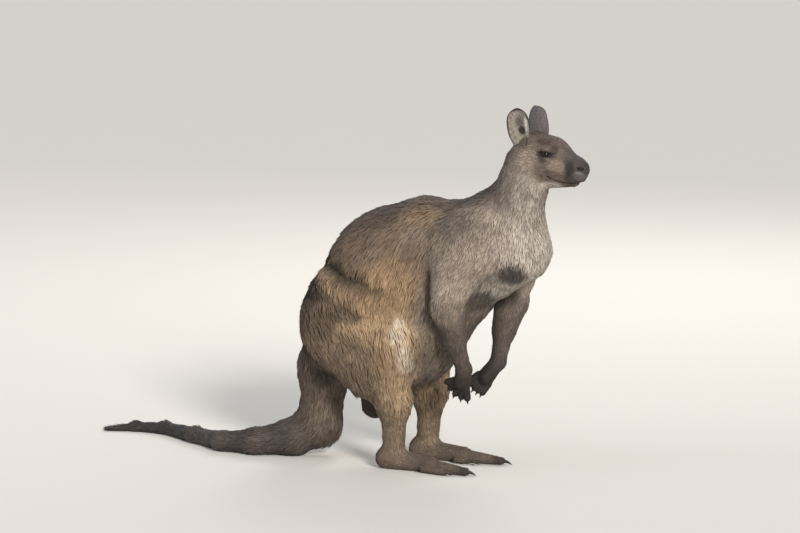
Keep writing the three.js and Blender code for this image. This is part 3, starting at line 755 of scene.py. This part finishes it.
def unwrap(points, start, end):
    """A place on a flat map for each point: its turn round a middle line and its way along it."""
    start, end = mm(*start), mm(*end)
    along = unit(end - start)
    side = unit(np.cross(along, (0, 1, 0.01)))
    other = np.cross(along, side)
    offset = points - start
    station = offset @ along
    core = np.clip(station, 0, np.linalg.norm(end - start))
    rise = np.hypot(offset @ side, offset @ other)
    cap = np.arctan2(station - core, rise) * np.median(rise)
    turn = np.arctan2(offset @ other, offset @ side) / (2 * math.pi) + 0.5
    way = core + cap
    way = (way - way.min()) / max(np.ptp(way), 1e-6)
    flat = np.stack([turn, way], 1)
    return COAT_MARGIN + (1 - 2 * COAT_MARGIN) * flat


SPACING = mm(3.0, 4.4)  # between tufts, where the hair is shortest and where it is longest


def scatter(mesh, points):
    """Random roots over the skin, closer together where the hair is short, with their normals."""
    mesh.calc_loop_triangles()
    corners = np.empty(len(mesh.loop_triangles) * 3, np.int32)
    mesh.loop_triangles.foreach_get("vertices", corners)
    corners = points[corners.reshape(-1, 3)]
    normals = np.cross(corners[:, 1] - corners[:, 0], corners[:, 2] - corners[:, 0])
    areas = np.linalg.norm(normals, axis=1) / 2
    normals /= areas[:, None] * 2 + 1e-12
    lengths = coat_at(corners.mean(1))[0]
    apart = SPACING[0] + (SPACING[1] - SPACING[0]) * smooth(0.005, 0.03, lengths)
    wanted = areas / apart ** 2
    counts = np.floor(wanted + RNG.random(len(wanted))).astype(int)
    chosen = np.repeat(np.arange(len(counts)), counts)
    a, b = RNG.random((2, len(chosen)))
    swap = a + b > 1
    a, b = np.where(swap, 1 - a, a), np.where(swap, 1 - b, b)
    first, second, third = corners[chosen].transpose(1, 0, 2)
    roots = first + a[:, None] * (second - first) + b[:, None] * (third - first)
    return roots, normals[chosen]


BARE_SOLE = 3 * MM  # how high above the floor the hair starts


def bare(points):
    """Where no hair grows: the eyes, nostrils, lips and what is pressed to the floor."""
    none = points[:, 2] < BARE_SOLE
    near = by_head(points, FACE_REACH)
    local = to_head(points[near])
    skin = mouth_gap(local) < 2 * MM
    for side in (1, -1):
        centre, out, along, up = eye_frame(side)
        offset = local - centre
        inside = round_lids(offset, along, up, 2 * MM, 2 * MM) < 1
        skin |= inside & (offset @ out > 0) & (np.linalg.norm(offset, axis=1) < 0.03)
        skin |= round_nostril(local, side, (1.8, 1.2, 1)) < 7 * MM
    none[near] |= skin
    return none


def combed(roots, normals):
    """Each tuft's length, way and lie along the skin, with the unevenness of a real coat."""
    lengths, lie, weights, names = coat_at(roots)
    lie = lie + np.stack([waves(roots, 0.09, 10 + i) for i in range(3)], 1) * 0.16
    lie = lie + RNG.normal(size=lie.shape) * 0.07
    lie -= (lie * normals).sum(1)[:, None] * normals
    lie /= np.linalg.norm(lie, axis=1, keepdims=True) + TINY
    lengths = lengths * RNG.uniform(0.75, 1.15, len(roots)) * (1 + 0.12 * waves(roots, 0.05, 21))
    lift = RNG.uniform(0.12, 0.27, len(roots)) * (1 + 0.2 * waves(roots, 0.03, 22))
    way = lie * np.sqrt(1 - lift ** 2)[:, None] + normals * lift[:, None]
    return lengths, way, lie, weights, names


LOCK_SIZE = 14  # tufts in a lock
LOCK_PULL = 0.35  # how far the tips are drawn together, at most


def gathered(roots, tips, lengths):
    """Draws each tuft's tip towards its lock's leader. Gives the tips and each tuft's lock."""
    count = len(roots) // LOCK_SIZE
    heads = RNG.choice(len(roots), count, replace=False)
    tree = KDTree(count)
    for i, head in enumerate(heads):
        tree.insert(roots[head], i)
    tree.balance()
    lock = np.array([tree.find(root)[1] for root in roots])
    leader = heads[lock]
    reach = np.linalg.norm(roots - roots[leader], axis=1)
    pull = LOCK_PULL * (1 - smooth(0.4, 1.0, reach / (lengths * 0.8 + 1e-6)))
    return tips + pull[:, None] * (tips[leader] - tips), lock


def tuft_points(roots, tips, normals, lie, lengths):
    """Seven points for each tuft: three round its root, three round its middle, and its tip."""
    across = np.cross(normals, lie)
    wide = (0.8 * MM + 0.036 * lengths) * RNG.uniform(0.8, 1.25, len(roots))
    sunk = roots - normals * (0.6 * MM + 0.03 * lengths)[:, None]
    middle = roots + (tips - roots) * 0.5 + normals * (0.06 * lengths)[:, None]
    made = []
    for centre, scale in ((sunk, 1.0), (middle, 0.8)):
        for turn in range(3):
            angle = 2 * math.pi * turn / 3 + math.pi / 6
            made.append(centre + across * (wide * scale * math.cos(angle))[:, None]
                        + normals * (wide * scale * 0.6 * math.sin(angle))[:, None])
    made.append(tips)
    return np.stack(made, 1)


TUFT_POINTS = 7
TUFT_FACES = [(0, 2, 1), (0, 1, 4, 3), (1, 2, 5, 4), (2, 0, 3, 5), (3, 4, 6), (4, 5, 6), (5, 3, 6)]
# Where each of a tuft's seven points lies on its own small patch of the map.
TUFT_MAP = np.array([(-0.5, -0.5), (0, -0.3), (0.5, -0.5), (-0.4, 0.1), (0, 0.2), (0.4, 0.1), (0, 0.5)])
TUFT_SHADE = np.array([0.55] * 3 + [0.95] * 3 + [1.25])  # dark at the root, pale at the tip


def tuft_normals(normals, lie):
    """Soft shading: a tuft is lit almost as the skin under it is, and a little across its back."""
    across = np.cross(normals, lie)
    made = []
    for tip_share in (0.0, 0.25):
        for turn in range(3):
            sideways = 0.45 * math.cos(2 * math.pi * turn / 3 + math.pi / 6)
            made.append(normals + across * sideways + lie * tip_share)
    made.append(normals + lie * 0.45)
    made = np.stack(made, 1)
    return made / np.linalg.norm(made, axis=2, keepdims=True)


def tuft_mesh(name, points, colours, flat, shading):
    """One mesh of many tufts. `flat` is the place of each tuft's root on the map OFBake."""
    count = len(points)
    mesh = bpy.data.meshes.new(name)
    sizes = [len(face) for face in TUFT_FACES]
    pattern = np.concatenate([np.array(face) for face in TUFT_FACES])
    corners = (np.arange(count)[:, None] * TUFT_POINTS + pattern).ravel()
    starts = np.cumsum([0] + sizes[:-1])
    mesh.vertices.add(count * TUFT_POINTS)
    mesh.vertices.foreach_set("co", (points.reshape(-1, 3) + ANCHOR).astype(F32).ravel())
    mesh.loops.add(len(corners))
    mesh.loops.foreach_set("vertex_index", corners.astype(np.int32))
    mesh.polygons.add(count * len(sizes))
    firsts = (np.arange(count)[:, None] * sum(sizes) + starts).ravel()
    mesh.polygons.foreach_set("loop_start", firsts.astype(np.int32))
    mesh.update(calc_edges=True)
    layer = mesh.uv_layers.new(name="OFBake")
    spots = flat[:, None] + TUFT_MAP[pattern] * TUFT_PATCH
    layer.data.foreach_set("uv", spots.astype(F32).ravel())
    paint(mesh, colours.reshape(-1, 3))
    mesh.shade_smooth()
    mesh.normals_split_custom_set_from_vertices(shading.reshape(-1, 3).tolist())
    return mesh


def make_coat(skin, points, material):
    """Grows the whole coat on the skin, in its pieces."""
    roots, normals = scatter(skin, points)
    kept = ~bare(roots)
    roots, normals = roots[kept], normals[kept]
    lengths, way, lie, weights, names = combed(roots, normals)
    tips = roots + way * lengths[:, None]
    tips, lock = gathered(roots, tips, lengths)
    tips[:, 2] = np.maximum(tips[:, 2], 1.0 * MM)
    shade = (1 + 0.10 * RNG.normal(size=lock.max() + 1))[lock] * RNG.uniform(0.74, 1.28, len(roots))
    colours = mottled(roots, markings(roots)) * np.clip(shade, 0.6, 1.5)[:, None]
    grown = tuft_points(roots, tips, normals, lie, lengths)
    coloured = colours[:, None] * TUFT_SHADE[None, :, None]
    shading = tuft_normals(normals, lie)
    owner = piece_of(roots, weights, names)
    for name, (start, end) in PIECES.items():
        mine = np.flatnonzero(owner == name)[:PIECE_LIMIT]
        where = to_head(roots[mine]) if name == "coat_head" else roots[mine]
        flat = unwrap(where, start, end)
        mesh = tuft_mesh(name, grown[mine], coloured[mine], flat, shading[mine])
        add_object(name, mesh, material)


# ---- Eyes, ears and claws ----
EYE_DARK = (0.016, 0.01, 0.008)
IRIS = (0.03, 0.015, 0.008)
PUPIL = (0.004, 0.003, 0.003)


def make_eye(side, name, material):
    """An eyeball that bulges a little in front, with its iris and pupil."""
    centre, out, _, _ = eye_frame(side)
    mesh = bpy.data.meshes.new("eyeball_" + name)
    bm = bmesh.new()
    bmesh.ops.create_uvsphere(bm, u_segments=48, v_segments=32, radius=EYE_RADIUS)
    turned = Vector((0, 0, 1)).rotation_difference(Vector(HEAD_TURNED @ out)).to_matrix()
    for vert in bm.verts:
        bulge = 1 + 0.05 * max(0.0, vert.co.z / EYE_RADIUS - 0.75) * 4
        vert.co = turned @ (vert.co * bulge)
    bm.to_mesh(mesh)
    bm.free()
    points = vertices_of(mesh)
    facing = (points @ (HEAD_TURNED @ out)) / np.linalg.norm(points, axis=1)
    colours = np.tile(EYE_DARK, (len(points), 1))
    colours = blended(colours, IRIS, smooth(0.78, 0.82, facing))
    colours = blended(colours, PUPIL, smooth(0.9, 0.93, facing))
    paint(mesh, colours)
    set_vertices(mesh, points + from_head(centre[None])[0] + ANCHOR)
    mesh.shade_smooth()
    add_object("eyeball_" + name, mesh, material, ["eye_" + name])


EAR_ROOT = mm(-58, 40, 30)
EAR_TIP = {1: mm(-85, 58, 124), -1: mm(-76, -61, 127)}
EAR_FACING = {1: (0.02, 1.0, 0.1), -1: (0.42, -0.9, 0.1)}
EAR_HALF_WIDTH = 31 * MM
EAR_ROUND = 2.6  # 2 is an ellipse; more makes the ear's top broader
EAR_WIDEST = 0.56  # the share of the height where the ear is widest
EAR_ROOT_WIDTH = 0.58  # the width at the root, as a share of the widest
EAR_WRAP = (118, 62)  # degrees that the ear curls round to each side, at its root and above
EAR_THICK = 3.2 * MM
EAR_SUNK = 8 * MM
EAR_BOW = 5 * MM
EAR_ROWS, EAR_COLUMNS = 36, 32


def ear_width(share):
    """The ear's width at a share of its height, as a share of the widest."""
    if share < EAR_WIDEST:
        return EAR_ROOT_WIDTH + (1 - EAR_ROOT_WIDTH) * math.sin(share / EAR_WIDEST * math.pi / 2)
    above = (share - EAR_WIDEST) / (1 - EAR_WIDEST)
    return math.sqrt(max(0.0, 1 - above ** EAR_ROUND))


def ear_point(share, turn, layer, side):
    """A point of an ear, by its share of the height, its turn round the curl and its face."""
    root, tip = EAR_ROOT * (1, side, 1), EAR_TIP[side]
    up = unit(tip - root)
    facing = np.array(EAR_FACING[side])
    facing = unit(facing - facing @ up * up)
    across = np.cross(up, facing) * side
    wrap = math.radians(EAR_WRAP[0] + (EAR_WRAP[1] - EAR_WRAP[0]) * min(share * 1.5, 1))
    curl = EAR_HALF_WIDTH * ear_width(share) / math.sin(min(wrap, math.pi / 2))
    thick = EAR_THICK * (1 - 0.6 * abs(turn) ** 3) * (1 - 0.5 * share ** 4)
    radius = curl + layer * thick / 2
    angle = wrap * turn
    bow = EAR_BOW * math.sin(math.pi * share)
    return (root + (tip - root) * share + across * radius * math.sin(angle)
            + facing * (curl - radius * math.cos(angle) - EAR_SUNK - bow))


EAR_INSIDE = (0.19, 0.172, 0.14)
EAR_RIM = (0.03, 0.023, 0.022)
EAR_BACK = (0.078, 0.064, 0.068)
# painted shade in the ear's hollow and its opening
EAR_HOLLOW_SHADE = (0.012, 0.009, 0.008)
EAR_PALE = (0.62, 0.58, 0.52)


def ear_colour(share, turn, layer):
    """Dark rim, grey hair inside, a pale streak along the front and painted shade in the hollow and the
    opening.
    """
    if layer > 0:
        return np.array(EAR_BACK)
    colour = np.array(EAR_INSIDE)
    streak = math.hypot((share - 0.44) / 0.36, (turn + 0.6) / 0.28)
    # painted shade deep in the ear's cup and at its opening
    hollow = math.hypot((share - 0.6) / 0.26, (turn + 0.02) / 0.44)
    opening = math.hypot((share - 0.36) / 0.14, (turn + 0.14) / 0.3)
    shares = (
        (EAR_PALE, 0.8 * (1 - smooth(0.5, 1.0, streak))),
        (EAR_HOLLOW_SHADE, 0.7 * (1 - smooth(0.2, 1.1, hollow))),
        (EAR_HOLLOW_SHADE, 1 - smooth(0.6, 1.1, opening)),
        (EAR_RIM, smooth(0.8, 0.9, max(abs(turn), share ** 2))),
    )
    for target, amount in shares:
        colour = colour + float(amount) * (np.array(target) - colour)
    return colour


def ear_faces():
    """The quads of an ear's two faces, then of the strips that close its edges."""
    # a is the grid of the outer face's points, and b that of the inner face's.
    a = np.arange((EAR_ROWS + 1) * (EAR_COLUMNS + 1)).reshape(EAR_ROWS + 1, -1)
    b = a + a.size
    quads = (
        (a[:-1, :-1], a[1:, :-1], a[1:, 1:], a[:-1, 1:]), (b[:-1, :-1], b[:-1, 1:], b[1:, 1:], b[1:, :-1]),
        (a[:-1, 0], b[:-1, 0], b[1:, 0], a[1:, 0]), (a[:-1, -1], a[1:, -1], b[1:, -1], b[:-1, -1]),
        (a[0, :-1], a[0, 1:], b[0, 1:], b[0, :-1]), (a[-1, :-1], b[-1, :-1], b[-1, 1:], a[-1, 1:]),
    )
    return [tuple(quad) for corners in quads for quad in np.stack(corners, -1).reshape(-1, 4).tolist()]


def make_ear(side, name, material):
    """A thin curled leaf with an inner and an outer face, streaked with fine hair."""
    points, colours = [], []
    for layer in (1, -1):
        for i in range(EAR_ROWS + 1):
            share = math.sin(math.pi / 2 * i / EAR_ROWS)
            for j in range(EAR_COLUMNS + 1):
                turn = 2 * j / EAR_COLUMNS - 1
                points.append(ear_point(share, turn, layer, side))
                colours.append(ear_colour(share, turn, layer))
    faces = ear_faces()
    if side < 0:
        faces = [face[::-1] for face in faces]
    points = np.array(points)
    mesh = mesh_of("ear_leaf_" + name, from_head(points), faces)
    streaks = 1 + 0.45 * waves(points, 0.008, 31 + side)
    paint(mesh, np.array(colours) * streaks[:, None])
    mesh.shade_smooth()
    add_object("ear_leaf_" + name, mesh, material, ["ear_" + name])


CLAW_ROWS, CLAW_SIDES = 12, 12
TOE_CLAW_RISE = 0.12  # how much a toe's claw points up from the line of its toe


def make_claw(name, root, way, droop, length, radius, material):
    """A curved horn: rings round a bent line, narrowing to its tip."""
    bend, tip = root + way * length * 0.5, root + way * length * 0.9 + droop * length * 0.32
    points, faces = [], []
    for i in range(CLAW_ROWS + 1):
        t = i / CLAW_ROWS
        centre = root * (1 - t) ** 2 + bend * 2 * t * (1 - t) + tip * t * t
        along = unit((bend - root) * (1 - t) + (tip - bend) * t)
        side = unit(np.cross(along, droop))
        up = np.cross(side, along)
        size = radius * (1 - t) ** 0.7 * 0.98 + 0.2 * MM
        for j in range(CLAW_SIDES):
            angle = 2 * math.pi * j / CLAW_SIDES
            points.append(centre + side * size * 0.8 * math.cos(angle) + up * size * math.sin(angle))
    for i in range(CLAW_ROWS):
        for j in range(CLAW_SIDES):
            a, b = i * CLAW_SIDES + j, i * CLAW_SIDES + (j + 1) % CLAW_SIDES
            faces.append((a, b, b + CLAW_SIDES, a + CLAW_SIDES))
    faces.append(tuple(range(CLAW_SIDES))[::-1])
    faces.append(tuple(range(CLAW_ROWS * CLAW_SIDES, (CLAW_ROWS + 1) * CLAW_SIDES)))
    points = np.array(points)
    points[:, 2] = np.maximum(points[:, 2], 0.3 * MM)
    mesh = mesh_of("horn_" + name, points, faces)
    mesh.shade_smooth()
    add_object("horn_" + name, mesh, material, [name])


def make_claws(side, name, material):
    """The claws of one side's hand and foot."""
    down = np.array((0, 0, -1.0))
    claw_length, claw_radius = mm(*FINGER_CLAW)
    for i, (_, tip, along) in enumerate(digits(side)):
        root = (tip + along * (FINGER_END - CLAW_SUNK)) * MM
        make_claw(f"finger_claw_{i + 1}_{name}", root, along, down, claw_length, claw_radius, material)
    for toe, (start, end, _, radius, _, length, fat) in TOES.items():
        start, end = np.array(start) * (1, side, 1), np.array(end) * (1, side, 1)
        way = unit(unit(end - start) + (0, 0, TOE_CLAW_RISE))
        root = (end + way * radius * 0.4) * MM
        make_claw(f"toe_claw_{toe}_{name}", root, way, down, length * MM, fat * MM, material)


# ---- Materials ----
def new_material(name):
    material = bpy.data.materials.new(name)
    material.use_nodes = True
    return material, material.node_tree.nodes, material.node_tree.links


def set_inputs(node, values):
    for socket, value in values.items():
        node.inputs[socket].default_value = value


def wire(links, *joins):
    """Joins an output of one node to an input of another, for each of the joins."""
    for source, output, target, entry in joins:
        links.new(source.outputs[output], target.inputs[entry])


def painted_material(name, roughness, sheen, grain, bump, specular=0.5):
    """A surface that takes the colours stored in its mesh, with a fine unevenness."""
    material, nodes, links = new_material(name)
    shader = nodes["Principled BSDF"]
    colour = nodes.new("ShaderNodeVertexColor")
    colour.layer_name = "fur_colour"
    noise = nodes.new("ShaderNodeTexNoise")
    set_inputs(noise, {"Scale": grain, "Detail": 4})
    place = nodes.new("ShaderNodeTexCoord")
    ramp = nodes.new("ShaderNodeMapRange")
    set_inputs(ramp, {"To Min": 0.82, "To Max": 1.18})
    tint = nodes.new("ShaderNodeVectorMath")
    tint.operation = "SCALE"
    dent = nodes.new("ShaderNodeBump")
    set_inputs(dent, {"Strength": bump, "Distance": 0.001})
    wire(links, (place, "Object", noise, "Vector"), (noise, "Fac", ramp, "Value"),
         (colour, "Color", tint, 0), (ramp, "Result", tint, "Scale"),
         (tint, "Vector", shader, "Base Color"), (noise, "Fac", dent, "Height"),
         (dent, "Normal", shader, "Normal"))
    set_inputs(shader, {"Roughness": roughness, "Specular IOR Level": specular,
                        "Sheen Weight": sheen, "Sheen Roughness": 0.5})
    return material


def horn_material():
    """Black horn with a little brown in it."""
    material, nodes, links = new_material("claw_horn")
    shader = nodes["Principled BSDF"]
    noise = nodes.new("ShaderNodeTexNoise")
    set_inputs(noise, {"Scale": 90})
    ramp = nodes.new("ShaderNodeValToRGB")
    ramp.color_ramp.elements[0].color = (0.008, 0.007, 0.006, 1)
    ramp.color_ramp.elements[1].color = (0.045, 0.038, 0.033, 1)
    place = nodes.new("ShaderNodeTexCoord")
    wire(links, (place, "Object", noise, "Vector"), (noise, "Fac", ramp, "Fac"),
         (ramp, "Color", shader, "Base Color"))
    set_inputs(shader, {"Roughness": 0.38})
    return material


# ---- Floor, light and camera ----
FLOOR_HALF = 30.0
FLOOR_COLOUR = (0.7, 0.68, 0.64, 1)
SUN_FROM = (0.72, -0.62, 0.4)
SUN_SOFTNESS = math.radians(12)
SUN_POWER = 3.8
LIGHTS_AIM = (0, 0, 0.5)
WORLD_COLOUR, WORLD_POWER = (0.95, 0.97, 1.0, 1), 0.50


def make_floor():
    half = FLOOR_HALF
    mesh = bpy.data.meshes.new("floor")
    corners = [(-half, -half, 0), (half, -half, 0), (half, half, 0), (-half, half, 0)]
    mesh.from_pydata(corners, [], [(0, 1, 2, 3)])
    material, nodes, _ = new_material("pale_floor")
    set_inputs(nodes["Principled BSDF"], {"Base Color": FLOOR_COLOUR, "Roughness": 0.85})
    mesh.materials.append(material)
    add_to_scene("floor", mesh)


def make_light(name, place, size, power, colour):
    """A broad lamp turned to the middle of the animal."""
    data = bpy.data.lights.new(name, "AREA")
    data.size = size
    data.energy = power
    data.color = colour
    lamp = add_to_scene(name, data)
    lamp.location = place
    lamp.rotation_euler = (Vector(LIGHTS_AIM) - Vector(place)).to_track_quat("-Z", "Y").to_euler()


def make_sun():
    """The key light: broad and soft, low from the front right."""
    data = bpy.data.lights.new("key", "SUN")
    data.angle = SUN_SOFTNESS
    data.energy = SUN_POWER
    data.color = (1.0, 0.955, 0.89)
    lamp = add_to_scene("key", data)
    lamp.rotation_euler = Vector(SUN_FROM).to_track_quat("Z", "Y").to_euler()


def make_lights():
    make_sun()
    make_light("fill", (-4.5, -3.5, 2.6), 3.0, 60, (0.92, 0.96, 1.0))
    make_light("rim", (-1.0, 4.5, 3.6), 2.0, 90, (1.0, 0.97, 0.93))
    world = bpy.data.worlds.new("studio")
    world.use_nodes = True
    set_inputs(world.node_tree.nodes["Background"], {"Color": WORLD_COLOUR, "Strength": WORLD_POWER})
    bpy.context.scene.world = world


VIEW_TURN = math.radians(30)  # how far the view is turned from square on to the animal's nose
VIEW_RISE = math.radians(7.5)
VIEW_DISTANCE = 14.0
VIEW_ACROSS, VIEW_UP = -0.042, 0.553  # the middle of the view, from the pose frame's origin
LENS = 225


def make_camera():
    right = Vector((math.cos(VIEW_TURN), math.sin(VIEW_TURN), 0))
    level = Vector((math.sin(VIEW_TURN), -math.cos(VIEW_TURN), 0))
    back = level * math.cos(VIEW_RISE) + Vector((0, 0, math.sin(VIEW_RISE)))
    up = back.cross(right)
    aim = right * VIEW_ACROSS + up * VIEW_UP + Vector(ANCHOR)
    data = bpy.data.cameras.new("camera")
    data.lens = LENS
    camera = add_to_scene("camera", data)
    camera.location = aim + back * VIEW_DISTANCE
    camera.rotation_euler = back.to_track_quat("Z", "Y").to_euler()
    bpy.context.scene.camera = camera


# ---- The whole scene ----
SIDES = {1: "left", -1: "right"}
FLESH_NODES = ["head", "neck", "trunk", "scrotum", "tail_base", "tail_middle", "tail_end", "tail_tip"]
FLESH_NODES += [f"{part}_{side}" for part in ("thigh", "shank", "foot", "upper_arm", "forearm", "hand")
                for side in SIDES.values()]

bpy.context.scene.view_settings.view_transform = "Standard"
make_camera()
make_floor()
make_lights()
fur = painted_material("fur", 0.75, 0.03, 260, 0.25)
skin_material = painted_material("skin", 0.8, 0.0, 320, 0.4)
ear_material = painted_material("ear_fur", 0.75, 0.1, 500, 0.5)
eye_material = painted_material("eye", 0.14, 0.0, 200, 0.0, specular=0.22)
horn = horn_material()
skin, skin_points = make_skin()
# The skin takes the coat's colours, with painted shade between the tufts.
paint(skin, mottled(skin_points, markings(skin_points)) * SKIN_SHADE)
add_object("skin", skin, skin_material, FLESH_NODES)
make_coat(skin, skin_points, fur)
for side, name in SIDES.items():
    make_eye(side, name, eye_material)
    make_ear(side, name, ear_material)
    make_claws(side, name, horn)
